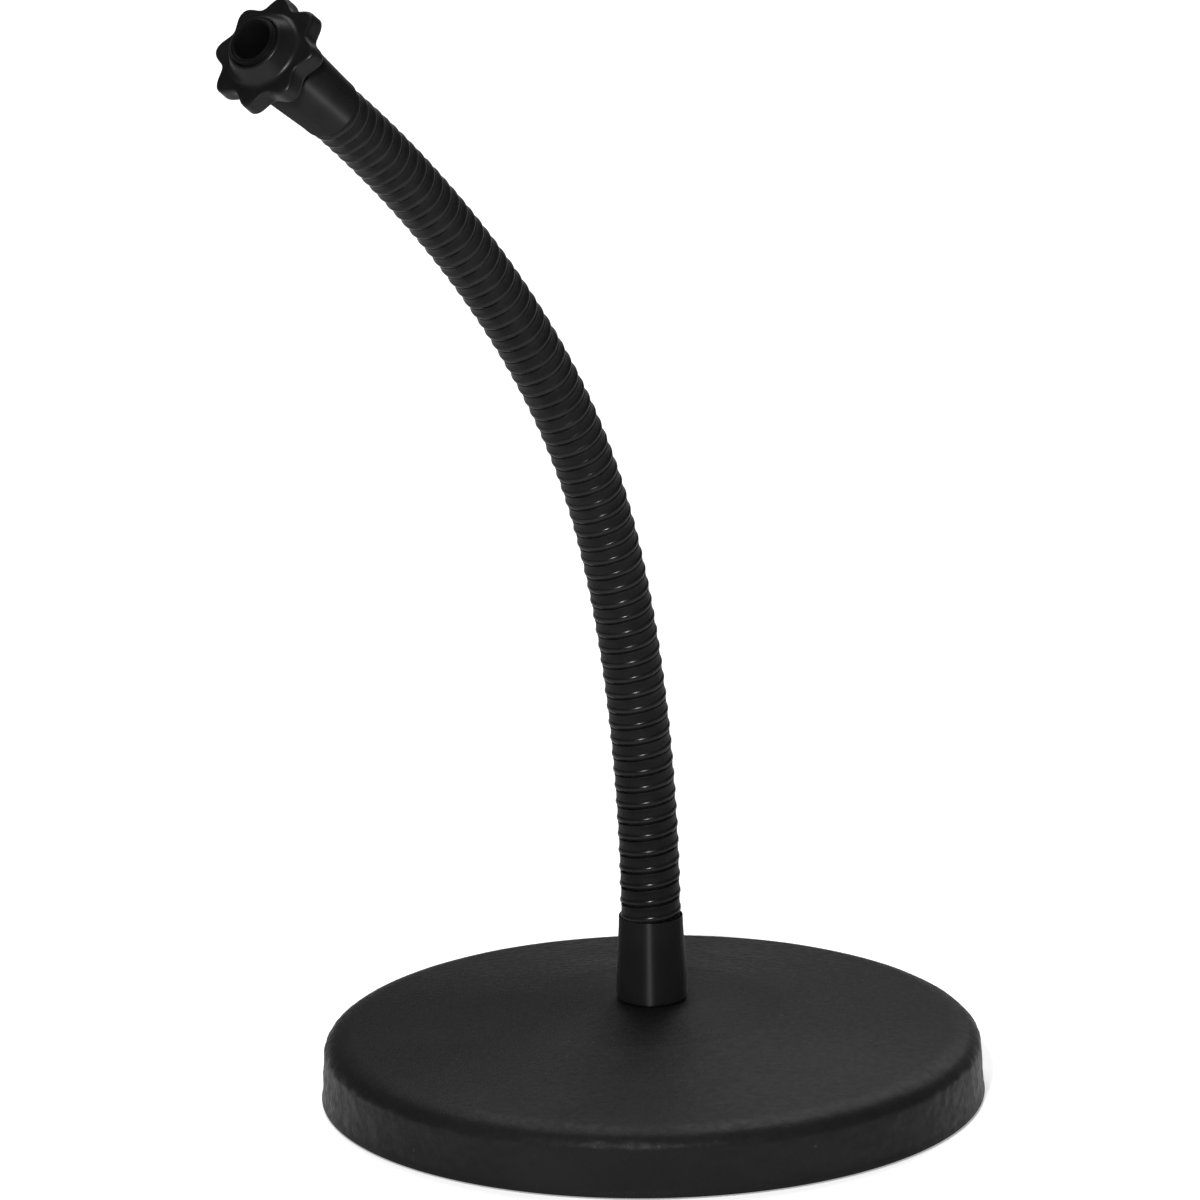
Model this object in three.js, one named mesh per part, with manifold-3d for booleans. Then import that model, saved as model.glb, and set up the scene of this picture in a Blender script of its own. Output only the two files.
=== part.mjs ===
// A gooseneck microphone stand for a desk: a round cast base, a bendable neck of two wound wires between
// two ferrules, and a threaded end with an eight-lobed lock nut.
// Millimetres, +Z up. The origin is the middle of the base's underside, and the neck leans towards -Y.

import * as THREE from 'three';
import { mergeVertices } from 'three/addons/utils/BufferGeometryUtils.js';
import Module from 'manifold-3d';

const GAP = 0.3;                       // clearance kept between touching pieces

// Base
const BASE_RADIUS = 101.6;             // an eight-inch base
const BASE_SIDES = 72;
const PAD_PROUD = 0.6;                 // how far the pad stands out below the casting
const PAD_THICKNESS = 2.5;
const PAD_RADIUS = 97.3;
const RIM_DRAFT = 0.6;
const RIM_WALL_TOP_Z = 15.3;           // where the side wall meets the rounded edge
const RIM_ROUND_WIDTH = 13.3;          // the edge is a quarter of an ellipse, wider than it is high
const RIM_ROUND_HEIGHT = 6.6;
const RIM_ROUND_END = THREE.MathUtils.degToRad(73);
const RIM_ROUND_STEPS = 7;
const HUB_RADIUS = 40.0;               // edge of the raised middle
const HUB_EDGE_Z = 28.9;
const HUB_ROUND = 4.0;
const SEAT_Z = 31.7;                   // flat seat that the lower ferrule stands on
const SEAT_RADIUS = 14.0;
const PLATE_THICKNESS = 8.0;
const CAVITY_RADIUS = 92.0;
const BOSS_RADIUS = 19.0;
const BOSS_BOTTOM_Z = 13.1;
const RIB_COUNT = 6;
const RIB_THICKNESS = 5.0;
const JOIN = 1.0;                      // how far two shapes that make one piece run into each other

// 5/8 inch thread, and the fasteners under the base
const THREAD_RADIUS = 7.94;
const THREAD_HOLE_RADIUS = THREAD_RADIUS + GAP;
const BASE_STUD_BOTTOM_Z = 3.2;
const HEX_NUT_ACROSS_FLATS = 23.8;
const HEX_NUT_THICKNESS = 5.0;
const SPRING_WASHER_THICKNESS = 2.0;
const SPRING_WASHER_SLIT = THREE.MathUtils.degToRad(9);
const FLAT_WASHER_THICKNESS = 1.6;
const WASHER_RADIUS = 13.5;
const SPRING_WASHER_RADIUS = 12.5;

// Ferrules: a straight length, then a taper down to the neck
const FERRULE_LENGTH = 26.6;
const FERRULE_RADIUS = 10.9;
const FERRULE_MOUTH_RADIUS = 9.8;
const FERRULE_LIP_ROUND = 0.4;
const FERRULE_STRAIGHT = 6.5;
const FERRULE_ROUND = 1.2;
const FERRULE_SIDES = 32;
const CORE_FLANGE_THICKNESS = 1.2;
const CORE_SHANK_RADIUS = 4.5;
const CORE_SHANK_LENGTH = 16.0;

// Neck: its tilt grows evenly with its length, with an extra bend around one place
const NECK_START_Z = SEAT_Z + GAP + FERRULE_LENGTH + GAP;
const NECK_LENGTH = 330.8;
const EVEN_BEND = 1.91e-3;             // radians per millimetre
const EXTRA_BEND = 0.2225;             // radians
const EXTRA_BEND_AT = 153.8;
const EXTRA_BEND_SPREAD = 49.7;
const NECK_STEP = 0.5;                 // step of the sum that turns tilts into places
const CREST_RADIUS = 9.35;             // the round wire's crest
const BAND_RADIUS = 9.05;              // the wedge wire's face
const COIL_PITCH = 5.2;
const GROOVE_MARGIN = 0.65;            // least distance from a stretch's end to its nearest groove or crest
const WEDGE_INNER_RADIUS = 7.3;
const SPRING_RADIUS = WEDGE_INNER_RADIUS - GAP;
const SPRING_INNER_RADIUS = 5.0;
const SPRING_INTO_FERRULE = 11.0;
const HINGE_COUNT = 12;
const HINGE_GAP = 1.75;                // lets each hinge turn 10 degrees before the stretches meet
const NECK_SIDES = 12;

// Head, as distances along its axis from the end of the neck
const STUD_END = 45.0;
const STUD_BORE_RADIUS = 6.2;
const NUT_WASHER_THICKNESS = 1.0;
const NUT_WASHER_RADIUS = 10.6;
const NUT_LOW = 31.5;                  // the nut stands off the ferrule, with some thread showing below it
const STAR_RADIUS = 17.0;              // half way between a lobe's tip and a valley
const STAR_LOBE = 1.75;                // height of a lobe above that
const STAR_LOBES = 8;
const STAR_TURN = THREE.MathUtils.degToRad(10.9);
const STAR_POINTS_PER_LOBE = 8;
const STAR_THICKNESS = 6.5;
const STAR_BEVEL = 1.1;
const COLLAR_HEIGHT = 5.4;
const COLLAR_BASE_RADIUS = 12.0;
const COLLAR_TOP_RADIUS = 9.0;
const INSERT_RADIUS = 10.3;

const wasm = await Module();
wasm.setup();

const material = {
  casting: new THREE.MeshStandardMaterial({ color: 0x1d1d1f, roughness: 0.62, metalness: 0.0 }),
  rubber: new THREE.MeshStandardMaterial({ color: 0x141414, roughness: 0.9, metalness: 0.0 }),
  steel: new THREE.MeshStandardMaterial({ color: 0x9b9da0, roughness: 0.35, metalness: 1.0 }),
  ferrule: new THREE.MeshStandardMaterial({ color: 0x101012, roughness: 0.28, metalness: 0.0 }),
  wire: new THREE.MeshStandardMaterial({ color: 0x121214, roughness: 0.35, metalness: 0.0 }),
  thread: new THREE.MeshStandardMaterial({ color: 0x0d0d0e, roughness: 0.45, metalness: 0.6 }),
  plastic: new THREE.MeshStandardMaterial({ color: 0x111113, roughness: 0.3, metalness: 0.0 }),
  brass: new THREE.MeshStandardMaterial({ color: 0xb08d4a, roughness: 0.35, metalness: 1.0 }),
  fibre: new THREE.MeshStandardMaterial({ color: 0x19191a, roughness: 0.8, metalness: 0.0 }),
};

function piece(name, geometry, look) {
  const mesh = new THREE.Mesh(geometry, look);
  mesh.name = name;
  return mesh;
}

// A closed outline of [radius, z] points, anticlockwise, turned about the Z axis.
function turned(outline, sides) {
  const points = outline.map(([radius, z]) => new THREE.Vector2(radius, z));
  points.push(points[0].clone());
  return new THREE.LatheGeometry(points, sides).rotateX(Math.PI / 2);
}

function ring(innerRadius, outerRadius, lowZ, highZ, sides) {
  const outline = [[innerRadius, lowZ], [outerRadius, lowZ], [outerRadius, highZ], [innerRadius, highZ]];
  return turned(outline, sides);
}

// Points along a rounded corner in the [radius, z] plane.
function arc(centreRadius, centreZ, radius, fromDegrees, toDegrees, steps) {
  const points = [];
  for (let i = 0; i <= steps; i += 1) {
    const angle = THREE.MathUtils.degToRad(THREE.MathUtils.lerp(fromDegrees, toDegrees, i / steps));
    points.push([centreRadius + radius * Math.cos(angle), centreZ + radius * Math.sin(angle)]);
  }
  return points;
}

function toSolid(geometry) {
  const bare = geometry.clone();
  bare.deleteAttribute('normal');
  bare.deleteAttribute('uv');
  const merged = mergeVertices(bare, 1e-4);
  const vertProperties = new Float32Array(merged.attributes.position.array);
  const triVerts = new Uint32Array(merged.index.array);
  return new wasm.Manifold(new wasm.Mesh({ numProp: 3, vertProperties, triVerts }));
}

function toGeometry(solid) {
  const mesh = solid.getMesh();
  const geometry = new THREE.BufferGeometry();
  geometry.setAttribute('position', new THREE.BufferAttribute(mesh.vertProperties, mesh.numProp));
  geometry.setIndex(new THREE.BufferAttribute(mesh.triVerts, 1));
  geometry.computeVertexNormals();
  return geometry;
}

function joined(geometries) {
  const solids = geometries.map(toSolid);
  return toGeometry(solids.reduce((sum, solid) => sum.add(solid)));
}

// ---- The neck's line -------------------------------------------------------------------------------

function neckTilt(distance) {
  const s = THREE.MathUtils.clamp(distance, 0, NECK_LENGTH);
  const rise = Math.tanh((s - EXTRA_BEND_AT) / EXTRA_BEND_SPREAD);
  const start = Math.tanh(EXTRA_BEND_AT / EXTRA_BEND_SPREAD);
  return EVEN_BEND * s + EXTRA_BEND * (rise + start) / 2;
}

const neckPlaces = [new THREE.Vector3(0, 0, NECK_START_Z)];
for (let s = 0; s < NECK_LENGTH; s += NECK_STEP) {
  const tilt = neckTilt(s + NECK_STEP / 2);
  const step = new THREE.Vector3(0, -Math.sin(tilt), Math.cos(tilt)).multiplyScalar(NECK_STEP);
  neckPlaces.push(neckPlaces.at(-1).clone().add(step));
}

// The place on the neck's line at a distance from its start. The line runs on straight past both ends.
function neckPlace(distance) {
  const s = THREE.MathUtils.clamp(distance, 0, NECK_LENGTH);
  const index = Math.min(Math.floor(s / NECK_STEP), neckPlaces.length - 2);
  const place = neckPlaces[index].clone().lerp(neckPlaces[index + 1], s / NECK_STEP - index);
  const tilt = neckTilt(distance);
  return place.addScaledVector(new THREE.Vector3(0, -Math.sin(tilt), Math.cos(tilt)), distance - s);
}

// Bends a geometry made straight along Z, so that its z becomes the distance along the neck.
function bentAlongNeck(geometry) {
  const position = geometry.attributes.position;
  for (let i = 0; i < position.count; i += 1) {
    const distance = position.getZ(i);
    const tilt = neckTilt(distance);
    const place = neckPlace(distance);
    const side = position.getY(i);
    position.setXYZ(i, position.getX(i), place.y + side * Math.cos(tilt), place.z + side * Math.sin(tilt));
  }
  geometry.computeVertexNormals();
  return geometry;
}

// ---- Base ------------------------------------------------------------------------------------------

function rimEdge() {
  const centreRadius = BASE_RADIUS - RIM_DRAFT - RIM_ROUND_WIDTH;
  const points = [];
  for (let i = 0; i <= RIM_ROUND_STEPS; i += 1) {
    const angle = RIM_ROUND_END * i / RIM_ROUND_STEPS;
    const radius = centreRadius + RIM_ROUND_WIDTH * Math.cos(angle);
    points.push([radius, RIM_WALL_TOP_Z + RIM_ROUND_HEIGHT * Math.sin(angle)]);
  }
  return points;
}

function plateBottom(topZ) {
  return topZ - PLATE_THICKNESS;
}

function castingOutline() {
  const slope = (SEAT_Z - HUB_EDGE_Z) / (HUB_RADIUS - SEAT_RADIUS);
  const landZ = PAD_THICKNESS + GAP;
  return [
    [PAD_RADIUS + GAP, PAD_PROUD],
    [BASE_RADIUS, PAD_PROUD],
    ...rimEdge(),
    [HUB_RADIUS + HUB_ROUND, HUB_EDGE_Z - HUB_ROUND * slope],
    [HUB_RADIUS - HUB_ROUND, HUB_EDGE_Z + HUB_ROUND * slope],
    [SEAT_RADIUS, SEAT_Z],
    [THREAD_HOLE_RADIUS, SEAT_Z],
    [THREAD_HOLE_RADIUS, BOSS_BOTTOM_Z],
    [BOSS_RADIUS, BOSS_BOTTOM_Z],
    [BOSS_RADIUS, plateBottom(SEAT_Z)],
    [HUB_RADIUS, plateBottom(HUB_EDGE_Z)],
    [CAVITY_RADIUS, plateBottom(RIM_WALL_TOP_Z + RIM_ROUND_HEIGHT)],
    [CAVITY_RADIUS, landZ],
    [PAD_RADIUS + GAP, landZ],
  ];
}

function rib(index) {
  const lowZ = PAD_THICKNESS + GAP;
  const innerRadius = BOSS_RADIUS - RIB_THICKNESS / 2;
  const height = BOSS_BOTTOM_Z - lowZ;
  const outerRadius = CAVITY_RADIUS + JOIN;
  const length = outerRadius - innerRadius;
  const bar = new THREE.BoxGeometry(length, RIB_THICKNESS, height);
  bar.translate(innerRadius + length / 2, 0, lowZ + height / 2);
  const plateJoin = new THREE.Shape([
    new THREE.Vector2(innerRadius, BOSS_BOTTOM_Z - JOIN),
    new THREE.Vector2(outerRadius, BOSS_BOTTOM_Z - JOIN),
    new THREE.Vector2(outerRadius, plateBottom(RIM_WALL_TOP_Z + RIM_ROUND_HEIGHT) + JOIN),
    new THREE.Vector2(HUB_RADIUS, plateBottom(HUB_EDGE_Z) + JOIN),
    new THREE.Vector2(innerRadius, plateBottom(SEAT_Z) + JOIN),
  ]);
  const web = new THREE.ExtrudeGeometry(plateJoin, { depth: RIB_THICKNESS, bevelEnabled: false });
  web.translate(0, 0, -RIB_THICKNESS / 2).rotateX(Math.PI / 2);
  const angle = (index + 0.5) * 2 * Math.PI / RIB_COUNT;
  return [bar.rotateZ(angle), web.rotateZ(angle)];
}

function baseCasting() {
  const bodies = [turned(castingOutline(), BASE_SIDES)];
  for (let i = 0; i < RIB_COUNT; i += 1) {
    bodies.push(...rib(i));
  }
  return piece('base_casting', joined(bodies), material.casting);
}

function footPad() {
  const pad = new THREE.CylinderGeometry(PAD_RADIUS, PAD_RADIUS, PAD_THICKNESS, BASE_SIDES);
  pad.rotateX(Math.PI / 2).translate(0, 0, PAD_THICKNESS / 2);
  return piece('foot_pad', pad, material.rubber);
}

function baseStud() {
  const topZ = NECK_START_Z - SPRING_INTO_FERRULE - CORE_FLANGE_THICKNESS - 2 * GAP;
  const height = topZ - BASE_STUD_BOTTOM_Z;
  const stud = new THREE.CylinderGeometry(THREAD_RADIUS, THREAD_RADIUS, height, FERRULE_SIDES);
  stud.rotateX(Math.PI / 2).translate(0, 0, BASE_STUD_BOTTOM_Z + height / 2);
  return piece('base_stud', stud, material.steel);
}

function baseFlatWasher(topZ) {
  const washer = ring(THREAD_HOLE_RADIUS, WASHER_RADIUS, topZ - FLAT_WASHER_THICKNESS, topZ, FERRULE_SIDES);
  return piece('base_flat_washer', washer, material.steel);
}

function baseSpringWasher(topZ) {
  const outline = new THREE.Shape();
  const slit = SPRING_WASHER_SLIT / 2;
  outline.absarc(0, 0, SPRING_WASHER_RADIUS, slit, 2 * Math.PI - slit, false);
  outline.absarc(0, 0, THREAD_HOLE_RADIUS, 2 * Math.PI - slit, slit, true);
  const options = { depth: SPRING_WASHER_THICKNESS, bevelEnabled: false, curveSegments: 16 };
  const washer = new THREE.ExtrudeGeometry(outline, options);
  washer.translate(0, 0, topZ - SPRING_WASHER_THICKNESS);
  return piece('base_spring_washer', washer, material.steel);
}

function baseHexNut(topZ) {
  const cornerRadius = HEX_NUT_ACROSS_FLATS / 2 / Math.cos(Math.PI / 6);
  const corners = [];
  for (let i = 0; i < 6; i += 1) {
    const angle = i * Math.PI / 3;
    corners.push(new THREE.Vector2(cornerRadius * Math.cos(angle), cornerRadius * Math.sin(angle)));
  }
  const outline = new THREE.Shape(corners);
  outline.holes.push(new THREE.Path().absarc(0, 0, THREAD_HOLE_RADIUS, 0, 2 * Math.PI, true));
  const options = { depth: HEX_NUT_THICKNESS, bevelEnabled: false, curveSegments: 16 };
  const nut = new THREE.ExtrudeGeometry(outline, options).translate(0, 0, topZ - HEX_NUT_THICKNESS);
  return piece('base_hex_nut', nut, material.steel);
}

function base() {
  const group = new THREE.Group();
  const flatTopZ = BOSS_BOTTOM_Z - GAP;
  const springTopZ = flatTopZ - FLAT_WASHER_THICKNESS - GAP;
  const nutTopZ = springTopZ - SPRING_WASHER_THICKNESS - GAP;
  group.add(baseCasting(), footPad(), baseStud());
  group.add(baseFlatWasher(flatTopZ), baseSpringWasher(springTopZ), baseHexNut(nutTopZ));
  return group;
}

// ---- Ferrules and cores, made with the mouth at z = 0 and the neck coming from below -----------------

function ferruleGeometry() {
  const shoulder = SPRING_INTO_FERRULE + GAP;
  const far = GAP + FERRULE_LENGTH;
  const lip = arc(
    FERRULE_MOUTH_RADIUS - FERRULE_LIP_ROUND, GAP + FERRULE_LIP_ROUND, FERRULE_LIP_ROUND, -90, 0, 2);
  const corner = arc(FERRULE_RADIUS - FERRULE_ROUND, far - FERRULE_ROUND, FERRULE_ROUND, 0, 90, 3);
  return turned([
    [WEDGE_INNER_RADIUS, GAP],
    ...lip,
    [FERRULE_RADIUS, far - FERRULE_STRAIGHT],
    ...corner,
    [THREAD_HOLE_RADIUS, far],
    [THREAD_HOLE_RADIUS, shoulder],
    [WEDGE_INNER_RADIUS, shoulder],
  ], FERRULE_SIDES);
}

function coreGeometry() {
  const flangeLow = SPRING_INTO_FERRULE + GAP;
  return turned([
    [0, flangeLow + CORE_FLANGE_THICKNESS - CORE_SHANK_LENGTH],
    [CORE_SHANK_RADIUS, flangeLow + CORE_FLANGE_THICKNESS - CORE_SHANK_LENGTH],
    [CORE_SHANK_RADIUS, flangeLow],
    [SPRING_RADIUS, flangeLow],
    [SPRING_RADIUS, flangeLow + CORE_FLANGE_THICKNESS],
    [0, flangeLow + CORE_FLANGE_THICKNESS],
  ], FERRULE_SIDES / 2);
}

function lowerEnd() {
  const group = new THREE.Group();
  group.add(piece('lower_ferrule', ferruleGeometry(), material.ferrule));
  group.add(piece('lower_neck_core', coreGeometry(), material.steel));
  group.position.z = NECK_START_Z;
  group.rotation.x = Math.PI;
  return group;
}

// ---- Neck ------------------------------------------------------------------------------------------

// The wedge wire's bands with the round wire's crest between them, as a grooved sleeve.
function wedgeWire(name, from, to) {
  const outer = [[BAND_RADIUS, from]];
  const half = COIL_PITCH / 2;
  for (let turn = Math.ceil((from + GROOVE_MARGIN) / half); turn * half < to - GROOVE_MARGIN; turn += 1) {
    outer.push([turn % 2 ? BAND_RADIUS : CREST_RADIUS, turn * half]);
  }
  outer.push([BAND_RADIUS, to]);
  const middle = (from + to) / 2;
  const inner = [[WEDGE_INNER_RADIUS, to], [WEDGE_INNER_RADIUS, middle], [WEDGE_INNER_RADIUS, from]];
  return piece(name, bentAlongNeck(turned([...outer, ...inner], NECK_SIDES)), material.wire);
}

function roundWire(name, from, to) {
  const middle = (from + to) / 2;
  const geometry = turned([
    [SPRING_RADIUS, from],
    [SPRING_RADIUS, middle],
    [SPRING_RADIUS, to],
    [SPRING_INNER_RADIUS, to],
    [SPRING_INNER_RADIUS, middle],
    [SPRING_INNER_RADIUS, from],
  ], NECK_SIDES);
  return piece(name, bentAlongNeck(geometry), material.wire);
}

function neck() {
  const group = new THREE.Group();
  const hingeAt = (i) => NECK_LENGTH * (i - 0.5) / HINGE_COUNT;
  for (let i = 0; i <= HINGE_COUNT; i += 1) {
    const label = String(i).padStart(2, '0');
    const first = i === 0;
    const last = i === HINGE_COUNT;
    const low = hingeAt(i) + HINGE_GAP / 2;
    const high = hingeAt(i + 1) - HINGE_GAP / 2;
    const end = NECK_LENGTH;
    group.add(wedgeWire(`neck_wedge_wire_${label}`, first ? 0 : low, last ? end : high));
    const springLow = first ? -SPRING_INTO_FERRULE : low;
    const springHigh = last ? end + SPRING_INTO_FERRULE : high;
    group.add(roundWire(`neck_round_wire_${label}`, springLow, springHigh));
  }
  return group;
}

// ---- Head ------------------------------------------------------------------------------------------

function topStud() {
  const low = SPRING_INTO_FERRULE + CORE_FLANGE_THICKNESS + 2 * GAP;
  const stud = ring(STUD_BORE_RADIUS, THREAD_RADIUS, low, STUD_END, FERRULE_SIDES);
  return piece('top_stud', stud, material.thread);
}

function starOutline() {
  const points = [];
  const count = STAR_LOBES * STAR_POINTS_PER_LOBE;
  for (let i = 0; i < count; i += 1) {
    const angle = i * 2 * Math.PI / count;
    const radius = STAR_RADIUS - STAR_BEVEL + STAR_LOBE * Math.cos(STAR_LOBES * angle);
    const turn = angle + STAR_TURN;
    points.push(new THREE.Vector2(radius * Math.cos(turn), radius * Math.sin(turn)));
  }
  return new THREE.Shape(points);
}

function starNut() {
  const options = {
    depth: STAR_THICKNESS - 2 * STAR_BEVEL,
    bevelThickness: STAR_BEVEL,
    bevelSize: STAR_BEVEL,
    bevelSegments: 1,
  };
  const star = new THREE.ExtrudeGeometry(starOutline(), options).translate(0, 0, NUT_LOW + STAR_BEVEL);
  const faceZ = NUT_LOW + STAR_THICKNESS;
  const collar = turned([
    [0, faceZ - JOIN],
    [COLLAR_BASE_RADIUS, faceZ - JOIN],
    [COLLAR_BASE_RADIUS, faceZ],
    [COLLAR_TOP_RADIUS, faceZ + COLLAR_HEIGHT],
    [0, faceZ + COLLAR_HEIGHT],
  ], FERRULE_SIDES);
  const bore = turned([
    [0, NUT_LOW - JOIN],
    [INSERT_RADIUS + GAP, NUT_LOW - JOIN],
    [INSERT_RADIUS + GAP, faceZ],
    [THREAD_HOLE_RADIUS, faceZ],
    [THREAD_HOLE_RADIUS, faceZ + COLLAR_HEIGHT + JOIN],
    [0, faceZ + COLLAR_HEIGHT + JOIN],
  ], FERRULE_SIDES);
  const nut = toSolid(star).add(toSolid(collar)).subtract(toSolid(bore));
  return piece('star_nut', toGeometry(nut), material.plastic);
}

function head() {
  const group = new THREE.Group();
  const washerTop = NUT_LOW - GAP;
  const washer = ring(
    THREAD_HOLE_RADIUS, NUT_WASHER_RADIUS, washerTop - NUT_WASHER_THICKNESS, washerTop, FERRULE_SIDES);
  const insert = ring(
    THREAD_HOLE_RADIUS, INSERT_RADIUS, NUT_LOW + GAP, NUT_LOW + STAR_THICKNESS - GAP, FERRULE_SIDES);
  group.add(piece('upper_ferrule', ferruleGeometry(), material.ferrule));
  group.add(piece('upper_neck_core', coreGeometry(), material.steel));
  group.add(topStud());
  group.add(piece('nut_washer', washer, material.fibre));
  group.add(starNut());
  group.add(piece('nut_insert', insert, material.brass));
  group.position.copy(neckPlace(NECK_LENGTH));
  group.rotation.x = neckTilt(NECK_LENGTH);
  return group;
}

const stand = new THREE.Group();
stand.add(base(), lowerEnd(), neck(), head());

export default stand;
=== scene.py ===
import math

import bpy
import numpy as np
from mathutils import Matrix, Vector, noise


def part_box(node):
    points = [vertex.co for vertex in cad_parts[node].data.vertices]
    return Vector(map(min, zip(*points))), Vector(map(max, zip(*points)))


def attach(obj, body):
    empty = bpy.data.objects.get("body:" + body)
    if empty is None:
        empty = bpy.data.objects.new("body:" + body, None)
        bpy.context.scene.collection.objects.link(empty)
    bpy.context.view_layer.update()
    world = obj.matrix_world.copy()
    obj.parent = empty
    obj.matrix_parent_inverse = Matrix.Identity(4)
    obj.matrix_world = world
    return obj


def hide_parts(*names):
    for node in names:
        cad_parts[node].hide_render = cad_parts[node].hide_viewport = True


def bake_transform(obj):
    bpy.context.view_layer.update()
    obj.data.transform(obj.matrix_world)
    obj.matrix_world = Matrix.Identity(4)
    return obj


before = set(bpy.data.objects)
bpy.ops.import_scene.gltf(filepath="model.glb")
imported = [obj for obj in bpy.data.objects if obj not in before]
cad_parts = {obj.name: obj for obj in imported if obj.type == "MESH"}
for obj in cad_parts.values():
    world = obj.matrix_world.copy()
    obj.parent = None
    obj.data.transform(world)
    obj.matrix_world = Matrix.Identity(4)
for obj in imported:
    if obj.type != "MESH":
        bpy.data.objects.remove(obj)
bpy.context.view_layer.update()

# Everything is in metres, in the frame of the CAD model: +Z up, the neck leaning towards -Y.

GAP = 0.0003                       # the CAD model's clearance between touching pieces
TURN = 2 * math.pi
ARC_STEP = 12                      # degrees from point to point round a rounded corner
NEARLY_STRAIGHT = 0.01             # radians: a corner that turns less than this isn't rounded

# Camera
VIEW_AZIMUTH = math.radians(44)
VIEW_ELEVATION = math.radians(17.734)
VIEW_ROLL = math.radians(0.873)
VIEW_DISTANCE = 15.0
VIEW_WIDTH = 0.36765
SENSOR = 36.0
AIM_RIGHT = -0.01637
AIM_UP = 0.15194
CLIP_START = 0.1

# Stage
FLOOR_RADIUS = 3.5
FLOOR_SIDES = 96
FLOOR_DROP = 0.0001
FLOOR_WHITE = 0.86
FLOOR_GLOW = 0.38
SKY_STRENGTH = 0.22
HORIZON = 0.9
SKY_MIDDLE = 0.5
SKY_MIDDLE_AT = 0.35
SKY_TOP = 0.12
SKY_TOP_AT = 0.9
LIGHTS_AIM = Vector((0, -0.03, 0.17))
LIGHTS = (                         # name, azimuth, elevation, distance, width, watts
    ("key", 37, 30, 1.6, 0.16, 26),
    ("back", 198, 28, 1.8, 0.9, 5),
    ("overhead", 222, 60, 1.8, 1.3, 24),
)

# Neck line: the tilt grows evenly with the length, with an extra bend around one place
NECK_LENGTH = 0.3308
EVEN_BEND = 1.91                   # radians per metre
EXTRA_BEND = 0.2225
EXTRA_BEND_AT = 0.1538
EXTRA_BEND_SPREAD = 0.0497
HINGES = 12
LINE_STEP = 0.0005

# Neck wires: the turns are spread a little at the base and pressed together at the head
PITCH_AT = (0, 0.07, 0.26, 0.331)
COIL_PITCH = (0.00548, 0.00525, 0.00522, 0.00468)
FIRST_CREST = 0.00683              # where the round wire is on the neck's +X side, above the ferrule
PAST_THE_ENDS = 0.02               # how far the turns are worked out beyond both ends of the neck
STEPS_PER_TURN = 56
WIRE_INTO_FERRULE = 0.0018
CREST_RADIUS = 0.00935
ROUND_WIRE_RADIUS = 0.0016
ROUND_WIRE_SIDES = 20
BAND_RADIUS = 0.00905              # the wedge wire's face, seen as a band between the crests
BAND_HOLLOW = 0.00012
BAND_OFFSET = -0.0001              # each band sits against the round wire below it, with the gap above
BAND_HALF_WIDTH = 0.00166
WEDGE_HALF_FOOT = 0.0006
WEDGE_DEPTH = 0.0019
BAND_STEP = 0.0006                 # the longest side of the section
BAND_ARC_STEP = 22                 # degrees
MARKS_WIDTH = 0.01                 # how wide the map of marks is, once round a wire's section

# Base
BASE_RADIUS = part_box("base_casting")[1].x
SEAT_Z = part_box("base_casting")[1].z
CAST_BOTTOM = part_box("base_casting")[0].z
PAD_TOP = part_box("foot_pad")[1].z
PAD_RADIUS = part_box("foot_pad")[1].x
BASE_SEGMENTS = 540
BASE_STEP = 0.0011                 # the longest side of the outline
STUD_HOLE = 0.00824
RIM_WALL_TOP = 0.0153
RIM_DRAFT = 0.0006
RIM_ROUND_WIDTH = 0.0133
RIM_ROUND_HEIGHT = 0.0066
RIM_ROUND_END = 73                 # degrees of the rim's ellipse, from the wall to the sloping top
RIM_ROUND_STEP = 5
HUB_RADIUS = 0.040
HUB_EDGE = 0.0289
SEAT_RADIUS = 0.014
PLATE = 0.008                      # the casting's thickness
BOSS_BOTTOM = 0.0131
BOSS_RADIUS = 0.019
CAVITY_RADIUS = 0.092

# Lumps on the casting's side wall, and waves on its top
WALL_LUMP = 0.00065                # how deep the side is lumpy
WALL_FADE_START = 0.004            # inward from the base's radius: no lumps further in
WALL_FADE = 0.0025
FOOT_SMOOTH = 0.0006
FOOT_FADE = 0.002
LUMP_STRETCH = 1.5                 # lumps are wider than they are high
LUMPS = 210                        # per metre
WIDE_LUMPS = 70                    # per metre
LUMP_FINENESS = (0.9, 2.1, 4)      # the fractal's increment, lacunarity and octaves
LUMP_MEAN = 0.5
LUMP_SWING = 0.35
LUMP_LIMIT = 1.4
TOP_ABOVE_WALL = 0.001             # the top is uneven from this far above the wall
TOP_FROM_HOLE = 0.004              # and from this far outside the stud's hole
TOP_WAVE = 0.00008                 # how uneven the top is
TOP_WAVES = 55                     # per metre
TOP_SINK = 0.4

# Ferrules: radii, and distances from the end of the neck
FERRULE_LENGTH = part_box("lower_ferrule")[1].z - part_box("lower_ferrule")[0].z
FERRULE_SEGMENTS = 144
FERRULE_STEP = 0.0006              # the longest side of the outline
FERRULE_MOUTH = 0.0098
FERRULE_BODY = 0.0109
FERRULE_STRAIGHT = 0.0065
MOUTH_FLARE = 0.0001
MOUTH_BAND = 0.004
SKIRT_DEPTH = 0.0022
SKIRT_CLEARANCE = 0.00008
CORE_BORE = 0.0073
STUD_POCKET = 0.0116

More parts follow.
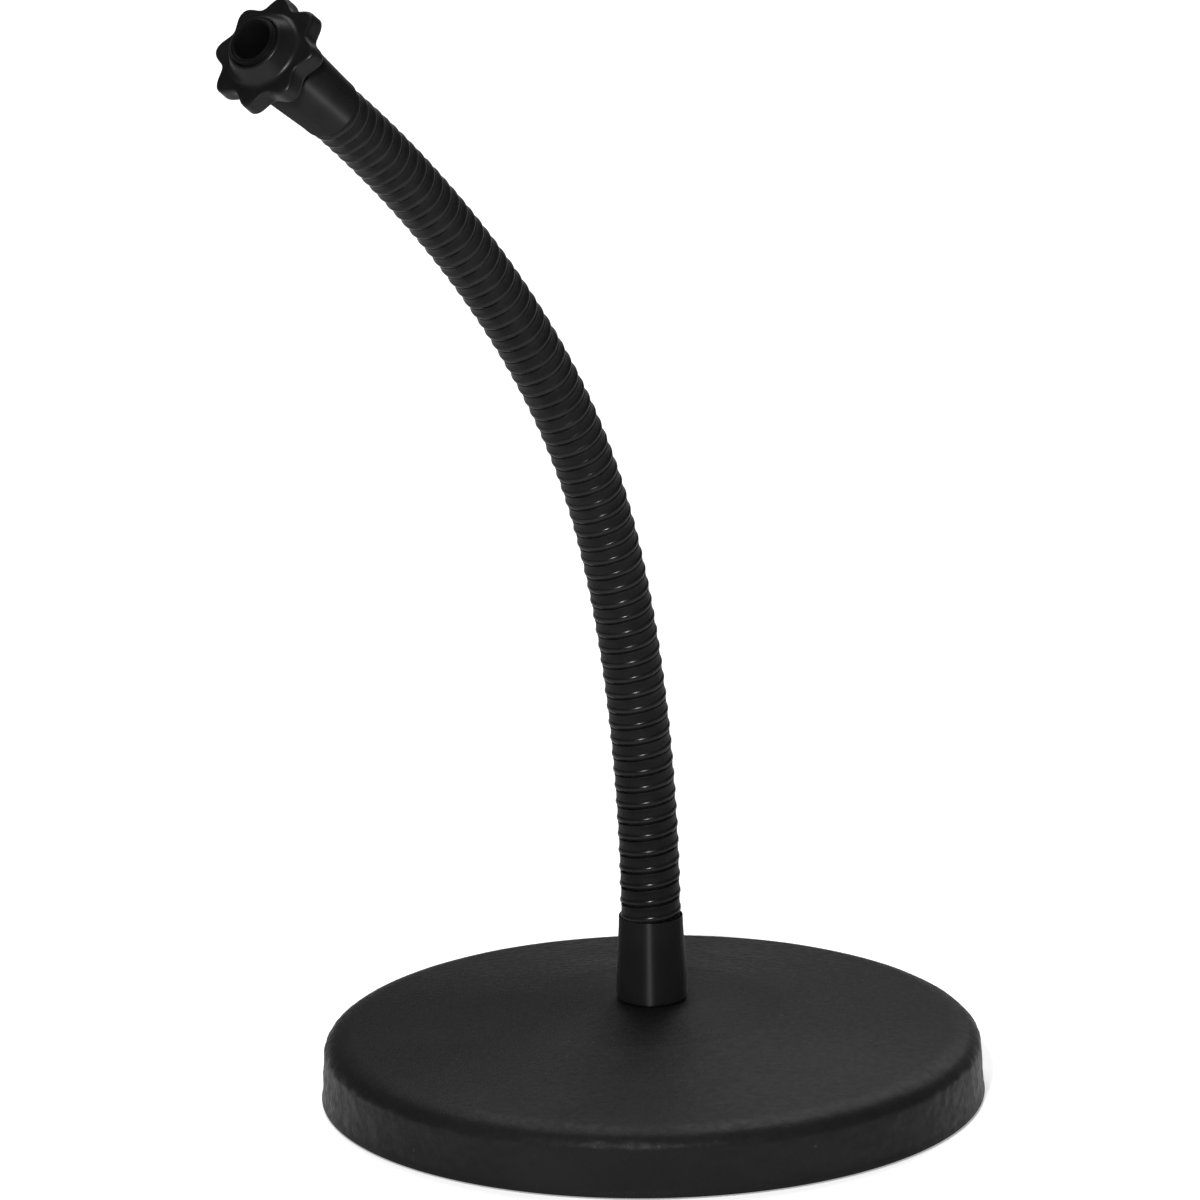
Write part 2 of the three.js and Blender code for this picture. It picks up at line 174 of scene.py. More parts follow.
# Head: radii, and distances along its axis from the end of the neck
STUD_START = 0.0131
STUD_END = 0.045
STUD_RADIUS = 0.00794
STUD_BORE = 0.0062
STUD_CHAMFER = 0.0006
STUD_CHAMFER_DEPTH = 0.0009
BORE_CHAMFER = 0.0005
STUD_SEGMENTS = 96
THREAD_PITCH = 0.0254 / 27
THREAD_DEPTH = 0.00055
THREAD_POINTS = 10                 # per pitch
THREAD_SLOPE = 1.3
THREAD_FLAT = 0.15
STAR_LOW = 0.0315
STAR_THICKNESS = 0.0065
STAR_RADIUS = 0.017
STAR_LOBES = 8
STAR_LOBE = 0.00175
STAR_LOBE_START = 0.0125
STAR_TURN = math.radians(10.9)
STAR_DISH = 0.0002
COLLAR_HEIGHT = 0.0054
COLLAR_FOOT = 0.0122
COLLAR_TOP = 0.009
INSERT_RADIUS = 0.0106
NUT_SEGMENTS = 288
NUT_STEP = 0.0005                  # the longest side of the outline

# Looks: most of a noise's values lie between these two
NOISE_LOW = 0.3
NOISE_HIGH = 0.7
DARK_TINT = 0.15                   # how bright the metallic share of a black coat is at grazing views


# ---- Small tools -------------------------------------------------------------------------------------


def fill_mesh(name, points, faces, material):
    """A smooth shaded object with one material."""
    mesh = bpy.data.meshes.new(name)
    mesh.from_pydata(points.reshape(-1, 3).tolist(), [], faces.tolist())
    mesh.polygons.foreach_set("use_smooth", np.ones(len(mesh.polygons), bool))
    mesh.materials.append(material)
    mesh.update()
    piece = bpy.data.objects.new(name, mesh)
    bpy.context.scene.collection.objects.link(piece)
    return piece


def quads(rows, columns, wrap_rows, wrap_columns):
    """Faces of a grid of points, row by row, facing the side from which rows go up as columns go right."""
    row = np.arange(rows if wrap_rows else rows - 1)
    column = np.arange(columns if wrap_columns else columns - 1)
    r, c = np.meshgrid(row, column, indexing="ij")
    r_next = (r + 1) % rows
    c_next = (c + 1) % columns
    corners = [r * columns + c, r * columns + c_next, r_next * columns + c_next, r_next * columns + c]
    return np.stack(corners, axis=-1).reshape(-1, 4)


def corner_arc(before, at, after, rounding, arc_step):
    """The points of the arc that rounds a corner, or the corner itself if it is sharp or nearly straight."""
    to_before = (before - at) / np.linalg.norm(before - at)
    to_after = (after - at) / np.linalg.norm(after - at)
    opening = math.acos(np.clip(to_before @ to_after, -1, 1))
    if rounding <= 0 or opening > math.pi - NEARLY_STRAIGHT:
        return [at]
    reach = rounding / math.tan(opening / 2)
    middle = (to_before + to_after) / np.linalg.norm(to_before + to_after)
    centre = at + middle * rounding / math.sin(opening / 2)
    first = at + to_before * reach - centre
    last = at + to_after * reach - centre
    sweep = math.pi - opening
    turn = 1 if first[0] * last[1] - first[1] * last[0] > 0 else -1
    steps = max(2, math.ceil(math.degrees(sweep) / arc_step))
    points = []
    for a in turn * sweep * np.arange(steps + 1) / steps:
        spin = np.array([[math.cos(a), -math.sin(a)], [math.sin(a), math.cos(a)]])
        points.append(centre + spin @ first)
    return points


def rounded(corners, arc_step=ARC_STEP):
    """A closed outline through (radius, z, rounding) corners, with each corner rounded by an arc."""
    outline = []
    count = len(corners)
    for i in range(count):
        before, at, after = (np.array(corners[(i + k) % count][:2]) for k in (-1, 0, 1))
        outline += corner_arc(before, at, after, corners[i][2], arc_step)
    return np.array(outline)


def divided(outline, longest):
    """The closed outline with points added, so that no side is longer than longest."""
    points = []
    for a, b in zip(outline, np.roll(outline, -1, axis=0)):
        steps = max(1, math.ceil(np.linalg.norm(b - a) / longest))
        points += [a + (b - a) * k / steps for k in range(steps)]
    return np.array(points)


def set_uv(piece, u, v):
    """Gives each vertex its (u, v) in a map named lines."""
    corner = np.zeros(len(piece.data.loops), np.int32)
    piece.data.loops.foreach_get("vertex_index", corner)
    uv = piece.data.uv_layers.new(name="lines")
    uv.data.foreach_set("uv", np.stack([u[corner], v[corner]], axis=-1).astype(np.float32).ravel())


def revolve(name, outline, segments, material, change=None):
    """Turns a closed, anticlockwise (radius, z) outline about Z. change(radius, z, angle) may move points."""
    angle = np.arange(segments) * TURN / segments
    radius, angle = np.meshgrid(outline[:, 0], angle, indexing="ij")
    z = np.repeat(outline[:, 1][:, None], segments, axis=1)
    if change:
        radius, z = change(radius, z, angle)
    points = np.stack([radius * np.cos(angle), radius * np.sin(angle), z], axis=-1)
    faces = quads(len(outline), segments, True, True)
    return fill_mesh(name, points, faces, material)


def grey(value):
    """A grey as red, green, blue and alpha."""
    return (value, value, value, 1)


def shader(name, roughness, specular):
    """A new material. Returns it with its node tree and its Principled node."""
    material = bpy.data.materials.new(name)
    material.use_nodes = True
    principled = material.node_tree.nodes["Principled BSDF"]
    principled.inputs["Roughness"].default_value = roughness
    principled.inputs["Specular IOR Level"].default_value = specular
    return material, material.node_tree, principled


def blacken(principled, metallic=0.6):
    """Part metal and black: little light comes from under the surface, and grazing views stay dark."""
    principled.inputs["Metallic"].default_value = metallic
    principled.inputs["Specular Tint"].default_value = grey(DARK_TINT)


def add_noise(tree, scale, detail, stretch=(1, 1, 1), coordinate="Object"):
    """Noise at scale waves per metre."""
    place = tree.nodes.new("ShaderNodeTexCoord")
    mapping = tree.nodes.new("ShaderNodeMapping")
    mapping.inputs["Scale"].default_value = stretch
    texture = tree.nodes.new("ShaderNodeTexNoise")
    texture.inputs["Scale"].default_value = scale
    texture.inputs["Detail"].default_value = detail
    tree.links.new(place.outputs[coordinate], mapping.inputs["Vector"])
    tree.links.new(mapping.outputs["Vector"], texture.inputs["Vector"])
    return texture.outputs["Fac"]


def add_range(tree, value, low, high, from_low=NOISE_LOW, from_high=NOISE_HIGH):
    """The value's range from_low to from_high, spread over low to high."""
    scale = tree.nodes.new("ShaderNodeMapRange")
    scale.inputs["From Min"].default_value = from_low
    scale.inputs["From Max"].default_value = from_high
    scale.inputs["To Min"].default_value = low
    scale.inputs["To Max"].default_value = high
    tree.links.new(value, scale.inputs["Value"])
    return scale.outputs["Result"]


def add_colours(tree, value, dark, light):
    """Colours from dark to light as the noise goes from low to high."""
    ramp = tree.nodes.new("ShaderNodeValToRGB")
    low, high = ramp.color_ramp.elements
    low.position = NOISE_LOW
    high.position = NOISE_HIGH
    low.color = (*dark, 1)
    high.color = (*light, 1)
    tree.links.new(value, ramp.inputs["Fac"])
    return ramp.outputs["Color"]


def add_bump(tree, height, distance, below=None):
    """A normal bent by height, on top of the normal from an earlier bump if there is one."""
    bump = tree.nodes.new("ShaderNodeBump")
    bump.inputs["Distance"].default_value = distance
    tree.links.new(height, bump.inputs["Height"])
    if below is not None:
        tree.links.new(below, bump.inputs["Normal"])
    return bump.outputs["Normal"]


# ---- Materials ---------------------------------------------------------------------------------------


def add_specks(tree, colours):
    """The colours with a few small pale specks on them."""
    spots = tree.nodes.new("ShaderNodeTexVoronoi")
    spots.inputs["Scale"].default_value = 95
    spots.inputs["Randomness"].default_value = 1.0
    place = tree.nodes.new("ShaderNodeTexCoord")
    tree.links.new(place.outputs["Object"], spots.inputs["Vector"])
    speck = add_range(tree, spots.outputs["Distance"], low=1, high=0, from_low=0.03, from_high=0.055)
    mix = tree.nodes.new("ShaderNodeMix")
    mix.data_type = "RGBA"
    mix.inputs["B"].default_value = grey(0.03)
    tree.links.new(speck, mix.inputs["Factor"])
    tree.links.new(colours, mix.inputs["A"])
    return mix.outputs["Result"]


def casting_coat():
    """Textured black coat on a casting: fine grain, faint cloudiness and a few pale specks."""
    material, tree, principled = shader("casting_coat", roughness=0.5, specular=0.3)
    blacken(principled, metallic=0.4)
    cloud = add_noise(tree, scale=28, detail=4)
    grain = add_noise(tree, scale=1500, detail=2)
    coarse = add_noise(tree, scale=420, detail=2)
    colours = add_colours(tree, cloud, (0.010, 0.010, 0.0104), (0.014, 0.014, 0.0144))
    tree.links.new(add_specks(tree, colours), principled.inputs["Base Color"])
    tree.links.new(add_range(tree, coarse, low=0.42, high=0.54), principled.inputs["Roughness"])
    fine = add_bump(tree, grain, distance=0.00006)
    tree.links.new(add_bump(tree, coarse, distance=0.00012, below=fine), principled.inputs["Normal"])
    return material


def turned_paint():
    """Black paint on turned metal: its fine lines run round, so that a light draws out along its length."""
    material, tree, principled = shader("turned_paint", roughness=0.52, specular=0.5)
    blacken(principled)
    principled.inputs["Anisotropic"].default_value = 1.0
    principled.inputs["Anisotropic Rotation"].default_value = 0.25
    around = tree.nodes.new("ShaderNodeTangent")
    around.direction_type = "UV_MAP"
    around.uv_map = "lines"
    tree.links.new(around.outputs["Tangent"], principled.inputs["Tangent"])
    peel = add_noise(tree, scale=520, detail=2)
    smear = add_noise(tree, scale=90, detail=3)
    colours = add_colours(tree, smear, (0.015, 0.015, 0.0155), (0.02, 0.02, 0.0205))
    tree.links.new(colours, principled.inputs["Base Color"])
    tree.links.new(add_range(tree, smear, low=0.5, high=0.55), principled.inputs["Roughness"])
    tree.links.new(add_bump(tree, peel, distance=0.00001), principled.inputs["Normal"])
    return material


def wire_paint(name, roughness, dark, light):
    """Black wire: the coat is drawn out along the wire, so its marks run along the turns."""
    material, tree, principled = shader(name, roughness, specular=0.5)
    blacken(principled)
    marks = add_noise(tree, scale=1, detail=3, stretch=(140, 1800, 1), coordinate="UV")
    wear = add_noise(tree, scale=160, detail=3)
    colours = add_colours(tree, wear, (dark,) * 3, (light,) * 3)
    tree.links.new(colours, principled.inputs["Base Color"])
    tree.links.new(add_range(tree, marks, roughness - 0.05, roughness + 0.07), principled.inputs["Roughness"])
    tree.links.new(add_bump(tree, marks, distance=0.00001), principled.inputs["Normal"])
    return material


def moulded_plastic():
    """Black moulded plastic with a very fine grain."""
    material, tree, principled = shader("moulded_plastic", roughness=0.38, specular=0.5)
    blacken(principled)
    grain = add_noise(tree, scale=2600, detail=2)
    sink = add_noise(tree, scale=130, detail=2)
    colours = add_colours(tree, sink, (0.012, 0.012, 0.0125), (0.016, 0.016, 0.0165))
    tree.links.new(colours, principled.inputs["Base Color"])
    tree.links.new(add_range(tree, sink, low=0.32, high=0.4), principled.inputs["Roughness"])
    fine = add_bump(tree, grain, distance=0.00001)
    tree.links.new(add_bump(tree, sink, distance=0.00008, below=fine), principled.inputs["Normal"])
    return material


def worn_metal(name, dark, light, roughness, metallic=1.0, specular=0.5):
    """Metal with a cloudy colour and fine scratches, or a dull coat on it where metallic is 0."""
    material, tree, principled = shader(name, roughness, specular)
    principled.inputs["Metallic"].default_value = metallic
    scratch = add_noise(tree, scale=900, detail=3, stretch=(1, 1, 6))
    cloud = add_noise(tree, scale=120, detail=3)
    tree.links.new(add_colours(tree, cloud, dark, light), principled.inputs["Base Color"])
    spread = add_range(tree, scratch, roughness - 0.08, roughness + 0.12)
    tree.links.new(spread, principled.inputs["Roughness"])
    tree.links.new(add_bump(tree, scratch, distance=0.00002), principled.inputs["Normal"])
    return material


def matt_sheet(name, dark, light, roughness, scale, height):
    """Rubber or fibre: matt, with a fine pressed grain."""
    material, tree, principled = shader(name, roughness, specular=0.25)
    grain = add_noise(tree, scale=scale, detail=3)
    colours = add_colours(tree, grain, (dark,) * 3, (light,) * 3)
    tree.links.new(colours, principled.inputs["Base Color"])
    tree.links.new(add_range(tree, grain, roughness - 0.06, roughness + 0.06), principled.inputs["Roughness"])
    tree.links.new(add_bump(tree, grain, height), principled.inputs["Normal"])
    return material


# ---- The neck's line ---------------------------------------------------------------------------------


def neck_tilt(distance):
    """How far the neck leans at a distance along it, in radians."""
    s = np.clip(distance, 0, NECK_LENGTH)
    rise = np.tanh((s - EXTRA_BEND_AT) / EXTRA_BEND_SPREAD)
    start = math.tanh(EXTRA_BEND_AT / EXTRA_BEND_SPREAD)
    return EVEN_BEND * s + EXTRA_BEND * (rise + start) / 2


NECK_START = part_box("lower_ferrule")[1].z + GAP
line_at = np.arange(0, NECK_LENGTH + LINE_STEP / 2, LINE_STEP)
line_tilt = neck_tilt(line_at[:-1] + LINE_STEP / 2)
line_y = np.concatenate([[0], np.cumsum(-np.sin(line_tilt) * LINE_STEP)])
line_z = NECK_START + np.concatenate([[0], np.cumsum(np.cos(line_tilt) * LINE_STEP)])


def on_neck(across, side, distance):
    """Points at across (along X) and side (in the plane of the bend) from the neck's line."""
    s = np.clip(distance, 0, NECK_LENGTH)
    tilt = neck_tilt(distance)
    y = np.interp(s, line_at, line_y) - np.sin(tilt) * (distance - s)
    z = np.interp(s, line_at, line_z) + np.cos(tilt) * (distance - s)
    return np.stack([across, y + side * np.cos(tilt), z + side * np.sin(tilt)], axis=-1)


def neck_point(distance):
    """The point on the neck's line at a distance along it."""
    return on_neck(np.array(0.0), np.array(0.0), np.array(distance)).tolist()


def head_matrix():
    """Puts what is made along Z, with the neck's end at 0, at the end of the neck."""
    end = Vector(neck_point(NECK_LENGTH))
    return Matrix.Translation(end) @ Matrix.Rotation(float(neck_tilt(NECK_LENGTH)), 4, "X")


# ---- Neck wires --------------------------------------------------------------------------------------

# How many turns the wires have made, counted from the first crest, at places along the neck
turns_place = np.arange(-PAST_THE_ENDS, NECK_LENGTH + PAST_THE_ENDS, LINE_STEP)
turns_made = np.cumsum(LINE_STEP / np.interp(turns_place, PITCH_AT, COIL_PITCH))
turns_made = turns_made - np.interp(FIRST_CREST, turns_place, turns_made)


def turns_at(distance):
    """How many turns the wires have made at a distance along the neck."""
    return np.interp(distance, turns_place, turns_made)


def distance_at(turns):
    """The distance along the neck at which the wires have made so many turns."""
    return np.interp(turns, turns_made, turns_place)


def round_section():
    """The round wire's section as (radius from the neck's line, place along it) points."""
    angle = np.arange(ROUND_WIRE_SIDES) * TURN / ROUND_WIRE_SIDES
    centre = CREST_RADIUS - ROUND_WIRE_RADIUS
    return np.stack([centre + ROUND_WIRE_RADIUS * np.cos(angle), ROUND_WIRE_RADIUS * np.sin(angle)], axis=1)


def wedge_section():
    """The wedge wire's section: a wide, slightly hollow face, rounded edges, and flanks that lean inwards."""
    foot = BAND_RADIUS - WEDGE_DEPTH
    corners = [
        (foot, -WEDGE_HALF_FOOT, 0.0002),
        (BAND_RADIUS, -BAND_HALF_WIDTH, 0.0001),
        (BAND_RADIUS - BAND_HOLLOW, 0, 0),
        (BAND_RADIUS, BAND_HALF_WIDTH, 0.00022),
        (foot, WEDGE_HALF_FOOT, 0.0002),
    ]
    section = divided(rounded(corners, BAND_ARC_STEP), BAND_STEP)
    section[:, 1] += BAND_OFFSET
    return section


def wire_faces(rows, columns):
    """The sides of a wire, and its two ends, which have points of their own after the others."""
    faces = quads(rows, columns, False, True).tolist()
    faces.append([rows * columns + i for i in range(columns)][::-1])
    faces.append([(rows + 1) * columns + i for i in range(columns)])
    return np.array(faces, dtype=object)


def wire_stretch(name, section, phase, start, end, material):
    """One stretch of a wire wound round the neck's line: the section swept along a right-handed helix."""
    first, last = turns_at(start), turns_at(end)
    steps = math.ceil((last - first) * STEPS_PER_TURN)
    turns = np.linspace(first, last, steps + 1)
    radius, turned = np.meshgrid(section[:, 0], turns * TURN + phase, indexing="xy")
    distance = distance_at(turns)[:, None] + section[:, 1][None, :]
    sides = on_neck(radius * np.cos(turned), radius * np.sin(turned), distance)
    rows, columns = sides.shape[:2]
    points = np.concatenate([sides.reshape(-1, 3), sides[0], sides[-1]])
    piece = fill_mesh(name, points, wire_faces(rows, columns), material)
    along = np.concatenate([np.repeat(turns * TURN * CREST_RADIUS, columns), np.zeros(2 * columns)])
    around = np.tile(np.arange(columns) / columns * MARKS_WIDTH, rows + 2)
    set_uv(piece, along, around)
    return piece


def make_neck(round_paint, wedge_paint):
    """Both wires, cut half way between the hinges, so that each stretch bends over one hinge."""
    wires = {
        "round": (round_section(), 0.0, round_paint),
        "wedge": (wedge_section(), math.pi, wedge_paint),
    }
    for i in range(1, HINGES + 1):
        start = NECK_LENGTH * (i - 1) / HINGES
        end = NECK_LENGTH * i / HINGES
        low = -WIRE_INTO_FERRULE if i == 1 else start
        high = NECK_LENGTH + WIRE_INTO_FERRULE if i == HINGES else end
        for kind, (section, phase, paint) in wires.items():
            piece = wire_stretch(f"{kind}_wire_{i:02d}", section, phase, low, high, paint)
            nodes = [f"neck_{kind}_wire_{i:02d}"]
            if i == 1:
                nodes.append(f"neck_{kind}_wire_00")
            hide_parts(*nodes)
            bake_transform(piece)


# ---- Base --------------------------------------------------------------------------------------------


def rim_edge():
    """The broad rounded edge, a part of an ellipse, from the side wall to the sloping top."""
    angle = np.radians(np.arange(0, RIM_ROUND_END + 1, RIM_ROUND_STEP))
    radius = BASE_RADIUS - RIM_DRAFT - RIM_ROUND_WIDTH * (1 - np.cos(angle))
    height = RIM_WALL_TOP + RIM_ROUND_HEIGHT * np.sin(angle)
    return [(r, z, 0) for r, z in zip(radius, height)]


def casting_outline():
    """Half of the casting's section: its foot, the outside up to the stud's hole, then the inside."""
    land = PAD_TOP + GAP
    plate_end = RIM_WALL_TOP + RIM_ROUND_HEIGHT - PLATE
    return rounded([
        (PAD_RADIUS + GAP, CAST_BOTTOM, 0.0004),
        (BASE_RADIUS, CAST_BOTTOM, 0.0006),
        *rim_edge(),
        (HUB_RADIUS, HUB_EDGE, 0.05),
        (SEAT_RADIUS, SEAT_Z, 0.02),
        (STUD_HOLE, SEAT_Z, 0.0004),
        (STUD_HOLE, BOSS_BOTTOM, 0.0004),
        (BOSS_RADIUS, BOSS_BOTTOM, 0.001),
        (BOSS_RADIUS, SEAT_Z - PLATE, 0.003),
        (HUB_RADIUS, HUB_EDGE - PLATE, 0.01),
        (CAVITY_RADIUS, plate_end, 0.003),
        (CAVITY_RADIUS, land, 0.0005),
        (PAD_RADIUS + GAP, land, 0.0003),
    ])


def lump_depth(angle, height):
    """How far a lump reaches into the side wall at one point, as a share of WALL_LUMP."""
    at = Vector((math.cos(angle), math.sin(angle), 0)) * BASE_RADIUS
    at.z = height * LUMP_STRETCH
    small = noise.fractal(at * LUMPS, *LUMP_FINENESS)
    wide = noise.noise(at * WIDE_LUMPS)
    return min(max(LUMP_MEAN - LUMP_SWING * (small + wide), 0), LUMP_LIMIT)


def top_wave(angle, radius):
    """How far the sloping top stands up or sinks at one point, as a share of TOP_WAVE."""
    at = Vector((math.cos(angle) * radius, math.sin(angle) * radius, 0))
    return noise.noise(at * TOP_WAVES) - TOP_SINK


def cast_surface(radius, z, angle):
    """Lumps on the side wall, fading out at its foot and over its top edge, and a slightly uneven top."""
    wall = np.clip((radius - (BASE_RADIUS - WALL_FADE_START)) / WALL_FADE, 0, 1)
    wall = wall * np.clip((z - CAST_BOTTOM - FOOT_SMOOTH) / FOOT_FADE, 0, 1)
    top = (z > RIM_WALL_TOP + TOP_ABOVE_WALL) & (radius > STUD_HOLE + TOP_FROM_HOLE)
    moved = radius.copy()
    lifted = z.copy()
    for i, j in zip(*np.nonzero(wall > 0)):
        moved[i, j] -= wall[i, j] * WALL_LUMP * lump_depth(angle[i, j], z[i, j])
    for i, j in zip(*np.nonzero(top)):
        lifted[i, j] += TOP_WAVE * top_wave(angle[i, j], radius[i, j])
    return moved, lifted


def make_base(coat):
    """The cast base, with its lumps, for the casting's node."""
    outline = divided(casting_outline(), BASE_STEP)
    casting = revolve("cast_base", outline, BASE_SEGMENTS, coat, cast_surface)
    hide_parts("base_casting")
    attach(casting, "base")


# ---- Ferrules ----------------------------------------------------------------------------------------


def ferrule_outline():
    """From the end of the neck, at 0: a thin skirt over the last turn, a taper and a straight length."""
    far = GAP + FERRULE_LENGTH
    skirt = CREST_RADIUS + SKIRT_CLEARANCE
    return rounded([
        (skirt, GAP, 0.00008),
        (FERRULE_MOUTH, GAP, 0.00022),
        (FERRULE_MOUTH + MOUTH_FLARE, GAP + MOUTH_BAND, 0.01),
        (FERRULE_BODY, far - FERRULE_STRAIGHT, 0.03),
        (FERRULE_BODY, far, 0.0012),
        (STUD_HOLE, far, 0.0003),
        (STUD_HOLE, STUD_POCKET, 0.0002),
        (CORE_BORE, STUD_POCKET, 0.0002),
        (CORE_BORE, SKIRT_DEPTH + GAP, 0.0002),
        (skirt, SKIRT_DEPTH + GAP, 0.0002),
    ])


def make_ferrules(paint):
    """Two alike: the lower one stands upside down on the base."""
    outline = divided(ferrule_outline(), FERRULE_STEP)
    around = np.tile(np.arange(FERRULE_SEGMENTS) / FERRULE_SEGMENTS, len(outline))
    along = np.repeat(outline[:, 1], FERRULE_SEGMENTS)
    lower = revolve("ferrule_at_base", outline, FERRULE_SEGMENTS, paint)
    lower.data.transform(Matrix.Translation((0, 0, NECK_START)) @ Matrix.Rotation(math.pi, 4, "X"))
    upper = revolve("ferrule_at_head", outline, FERRULE_SEGMENTS, paint)
    upper.data.transform(head_matrix())
    for piece, node, body in ((lower, "lower_ferrule", "base"), (upper, "upper_ferrule", "head")):
        set_uv(piece, around, along)
        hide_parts(node)
        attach(piece, body)


# ---- Head --------------------------------------------------------------------------------------------


def threaded(radius, z, angle):
    """Cuts a right-handed thread into the outside of the stud."""
    phase = (z - angle / TURN * THREAD_PITCH) / THREAD_PITCH
    tooth = np.abs(phase - np.floor(phase) - 0.5) * 2
    depth = THREAD_DEPTH * np.clip(tooth * THREAD_SLOPE - THREAD_FLAT, 0, 1)
    outside = radius >= STUD_RADIUS
    return np.where(outside, radius - depth, radius), z


def make_stud(paint):
    """The hollow threaded end, with a chamfer outside and inside its open end."""
    heights = np.arange(STUD_START, STUD_END - STUD_CHAMFER, THREAD_PITCH / THREAD_POINTS)
    outside = np.stack([np.full(len(heights), STUD_RADIUS), heights], axis=1)
    inside = np.array([
        (STUD_RADIUS - STUD_CHAMFER_DEPTH, STUD_END),
        (STUD_BORE + BORE_CHAMFER, STUD_END),
        (STUD_BORE, STUD_END - BORE_CHAMFER),
        (STUD_BORE, STUD_START),
    ])
    stud = revolve("threaded_end", np.concatenate([outside, inside]), STUD_SEGMENTS, paint, threaded)
    stud.data.transform(head_matrix())
    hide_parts("top_stud")
    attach(stud, "head")


def lobed(radius, z, angle):
    """Lobes that grow from nothing at STAR_LOBE_START to their full height at the nut's radius."""
    share = np.clip((radius - STAR_LOBE_START) / (STAR_RADIUS - STAR_LOBE_START), 0, 1)
    wave = np.cos(STAR_LOBES * (angle - STAR_TURN))
    return radius + STAR_LOBE * wave * share, z


def make_star_nut(plastic):
    """A lobed disc with a slightly dished face, and a tapered collar round the thread."""
    face = STAR_LOW + STAR_THICKNESS
    outline = divided(rounded([
        (INSERT_RADIUS, STAR_LOW, 0.0003),
        (STAR_RADIUS, STAR_LOW, 0.0012),
        (STAR_RADIUS, face, 0.0013),
        (COLLAR_FOOT, face - STAR_DISH, 0.002),
        (COLLAR_TOP, face + COLLAR_HEIGHT, 0.0009),
        (STUD_HOLE, face + COLLAR_HEIGHT, 0.0003),
        (STUD_HOLE, face, 0.0002),
        (INSERT_RADIUS, face, 0.0002),
    ]), NUT_STEP)
    nut = revolve("lobed_nut", outline, NUT_SEGMENTS, plastic, lobed)
    nut.data.transform(head_matrix())
    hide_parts("star_nut")
    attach(nut, "nut")


# ---- Stage -------------------------------------------------------------------------------------------


def make_camera():
    """A long lens from the front and right of the stand, a little above it."""
    right = Vector((math.cos(VIEW_AZIMUTH), math.sin(VIEW_AZIMUTH), 0))
    flat = Vector((math.sin(VIEW_AZIMUTH), -math.cos(VIEW_AZIMUTH), 0))
    back = flat * math.cos(VIEW_ELEVATION) + Vector((0, 0, math.sin(VIEW_ELEVATION)))
    up = back.cross(right)
    x = right * math.cos(VIEW_ROLL) - up * math.sin(VIEW_ROLL)
    y = up * math.cos(VIEW_ROLL) + right * math.sin(VIEW_ROLL)
    data = bpy.data.cameras.new("camera")
    data.sensor_width = SENSOR
    data.lens = SENSOR * VIEW_DISTANCE / VIEW_WIDTH
    data.clip_start = CLIP_START
    data.clip_end = VIEW_DISTANCE * 2
    camera = bpy.data.objects.new("camera", data)
    bpy.context.scene.collection.objects.link(camera)
    place = x * AIM_RIGHT + y * AIM_UP + back * VIEW_DISTANCE
    turn = Matrix((x, y, back)).transposed().to_4x4()
    camera.matrix_world = Matrix.Translation(place) @ turn
    bpy.context.scene.camera = camera


def make_floor():
    """A wide pale floor that glows a little, so that it stays white to its edge."""
    place = (0, 0, -FLOOR_DROP)
    bpy.ops.mesh.primitive_circle_add(
        vertices=FLOOR_SIDES, radius=FLOOR_RADIUS, fill_type="NGON", location=place
    )
    floor = bpy.context.object
    floor.name = "floor"
    material, _, principled = shader("floor", roughness=0.9, specular=0.0)
    principled.inputs["Base Color"].default_value = grey(FLOOR_WHITE)
    principled.inputs["Emission Color"].default_value = grey(1)
    principled.inputs["Emission Strength"].default_value = FLOOR_GLOW
    floor.data.materials.append(material)


def make_world():
    """Pale near the horizon and darker overhead, as in a studio with a bright backdrop."""
    world = bpy.data.worlds.new("studio")
    world.use_nodes = True
    bpy.context.scene.world = world
    tree = world.node_tree
    place = tree.nodes.new("ShaderNodeTexCoord")
    split = tree.nodes.new("ShaderNodeSeparateXYZ")
    ramp = tree.nodes.new("ShaderNodeValToRGB")
    low, high = ramp.color_ramp.elements
    low.position = 0
    low.color = grey(HORIZON)
    high.position = SKY_TOP_AT
    high.color = grey(SKY_TOP)
    middle = ramp.color_ramp.elements.new(SKY_MIDDLE_AT)
    middle.color = grey(SKY_MIDDLE)
    background = tree.nodes["Background"]
    tree.links.new(place.outputs["Generated"], split.inputs["Vector"])
    tree.links.new(split.outputs["Z"], ramp.inputs["Fac"])
    tree.links.new(ramp.outputs["Color"], background.inputs["Color"])
    background.inputs["Strength"].default_value = SKY_STRENGTH


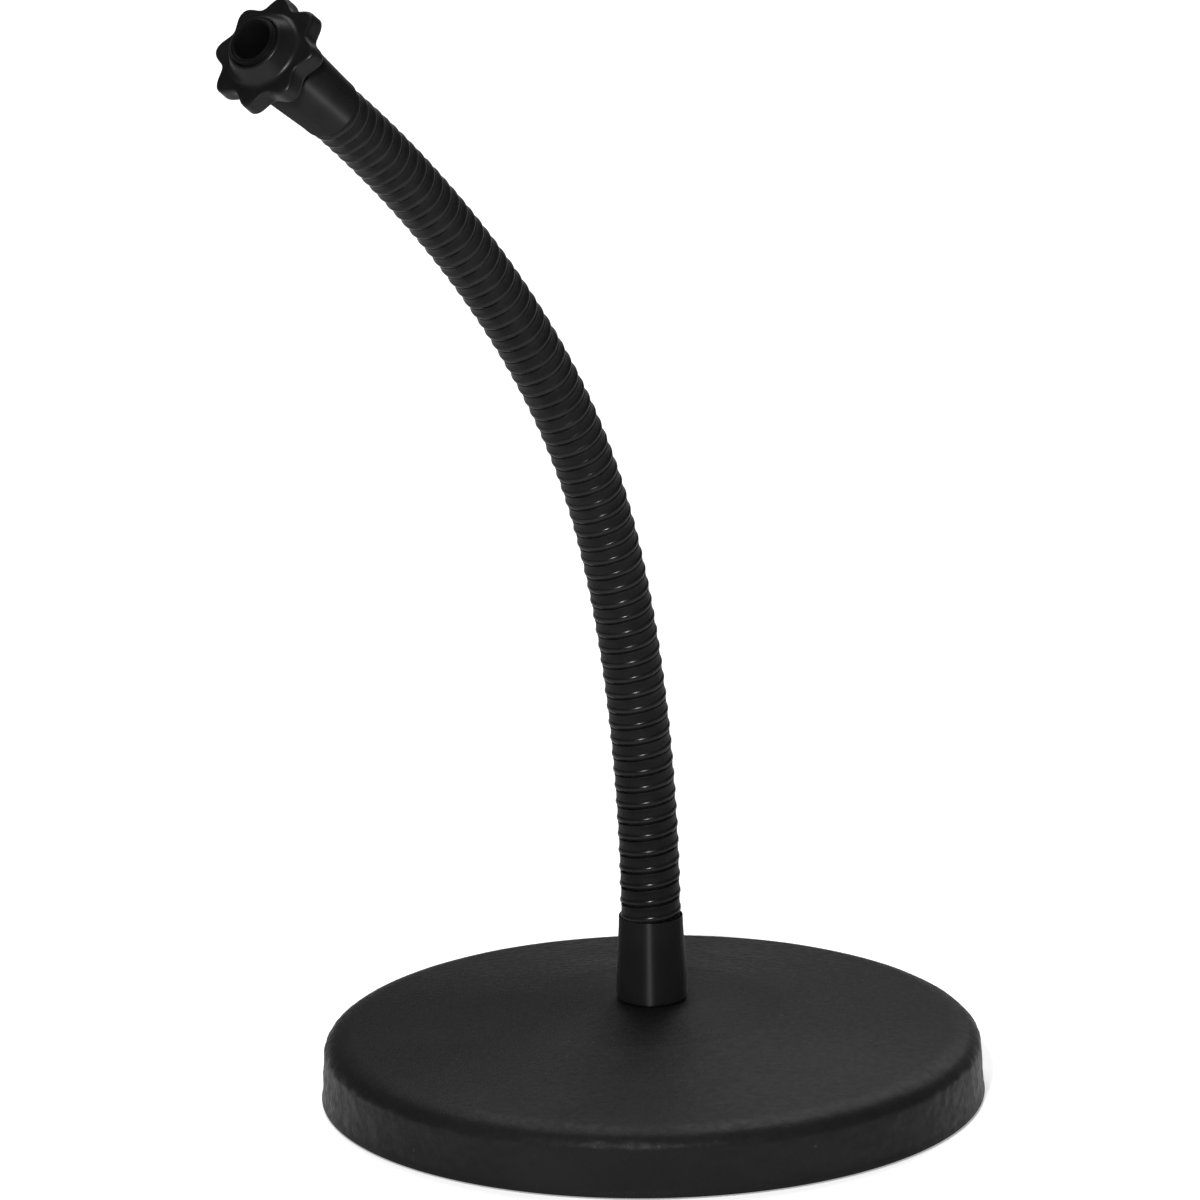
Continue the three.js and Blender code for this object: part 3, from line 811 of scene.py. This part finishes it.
def make_light(name, azimuth, elevation, distance, size, power):
    """A round soft light that looks at the middle of the stand, at an azimuth counted as the camera's is."""
    a = math.radians(azimuth)
    e = math.radians(elevation)
    away = Vector((math.sin(a) * math.cos(e), -math.cos(a) * math.cos(e), math.sin(e)))
    data = bpy.data.lights.new(name, "AREA")
    data.shape = "DISK"
    data.size = size
    data.energy = power
    light = bpy.data.objects.new(name, data)
    bpy.context.scene.collection.objects.link(light)
    light.location = LIGHTS_AIM + away * distance
    light.rotation_euler = away.to_track_quat("Z", "Y").to_euler()


# ---- The model ---------------------------------------------------------------------------------------

make_camera()
make_floor()
make_world()
for light in LIGHTS:
    make_light(*light)

coat = casting_coat()
gloss = turned_paint()
round_paint = wire_paint("round_wire_paint", roughness=0.24, dark=0.013, light=0.018)
wedge_paint = wire_paint("wedge_wire_paint", roughness=0.45, dark=0.0075, light=0.011)
plastic = moulded_plastic()
# The threaded end's coat is black, and made darker still with almost no reflection as painted shade, so its
# open end and bore read as a shadowed hole.
thread = worn_metal(
    "thread_coat_painted_shade", (0.002,) * 3, (0.0035,) * 3, roughness=0.6, metallic=0.0, specular=0.03
)
steel = worn_metal("zinc_steel", (0.42, 0.42, 0.44), (0.6, 0.6, 0.61), roughness=0.36)
brass = worn_metal("turned_brass", (0.5, 0.35, 0.14), (0.72, 0.53, 0.26), roughness=0.32)
rubber = matt_sheet("pad_rubber", dark=0.012, light=0.024, roughness=0.82, scale=700, height=0.0001)
fibre = matt_sheet("washer_fibre", dark=0.014, light=0.03, roughness=0.78, scale=1400, height=0.00005)

make_base(coat)
make_ferrules(gloss)
make_neck(round_paint, wedge_paint)
make_stud(thread)
make_star_nut(plastic)

# The CAD nodes that keep their own shape
CAD_LOOKS = {
    "foot_pad": rubber,
    "base_stud": steel,
    "base_flat_washer": steel,
    "base_spring_washer": steel,
    "base_hex_nut": steel,
    "lower_neck_core": steel,
    "upper_neck_core": steel,
    "nut_insert": brass,
    "nut_washer": fibre,
}
for node, look in CAD_LOOKS.items():
    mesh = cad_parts[node].data
    mesh.materials.clear()
    mesh.materials.append(look)

bpy.context.scene.view_settings.view_transform = "Standard"
